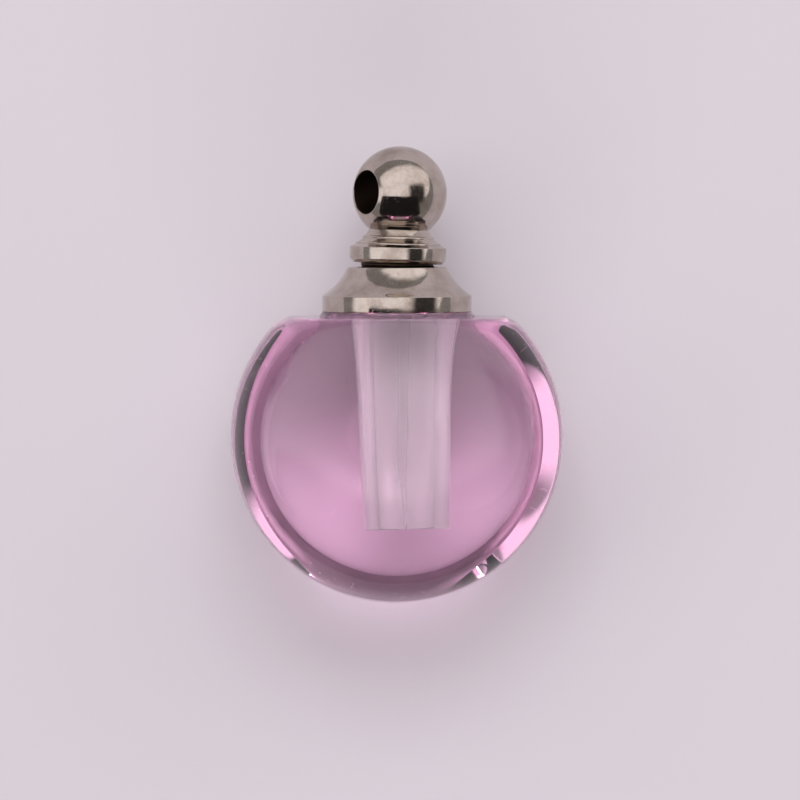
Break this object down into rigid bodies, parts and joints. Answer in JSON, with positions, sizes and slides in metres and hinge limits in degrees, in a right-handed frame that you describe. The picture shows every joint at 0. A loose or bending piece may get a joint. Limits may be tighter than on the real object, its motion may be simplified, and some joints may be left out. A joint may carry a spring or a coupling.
{
  "type": "bottle pendant",
  "caption": "Thick round pebble of pink glass, flat in front and domed behind, with a drilled vial hollow, a glued turned collar and a threaded ball cap with a cord hole.",
  "frame": {"origin": "centre of the small rest flat on the back dome, which rests on the table", "axes": "+Y along the bottle's axis towards the cap, +Z out of the flat front, +X to the right of the front view"},
  "size_m": [0.02, 0.0275, 0.0128],
  "materials": {
    "pink_glass": "polished, tinted through its thickness",
    "clear_adhesive": "clear glue, slightly uneven",
    "nickel_plate": "polished nickel plate on turned brass, with fine pits"
  },
  "bodies": {
    "vial": {"glass_body": "pink_glass", "adhesive_bead": "clear_adhesive", "collar": "nickel_plate"},
    "cap": {"screw_cap": "nickel_plate"}
  },
  "joints": [
    {"name": "cap_travel", "type": "slide", "parent": "vial", "child": "cap", "axis": [0.0332, 0.9995, 0], "range_m": [0, 0.003]}
  ]
}
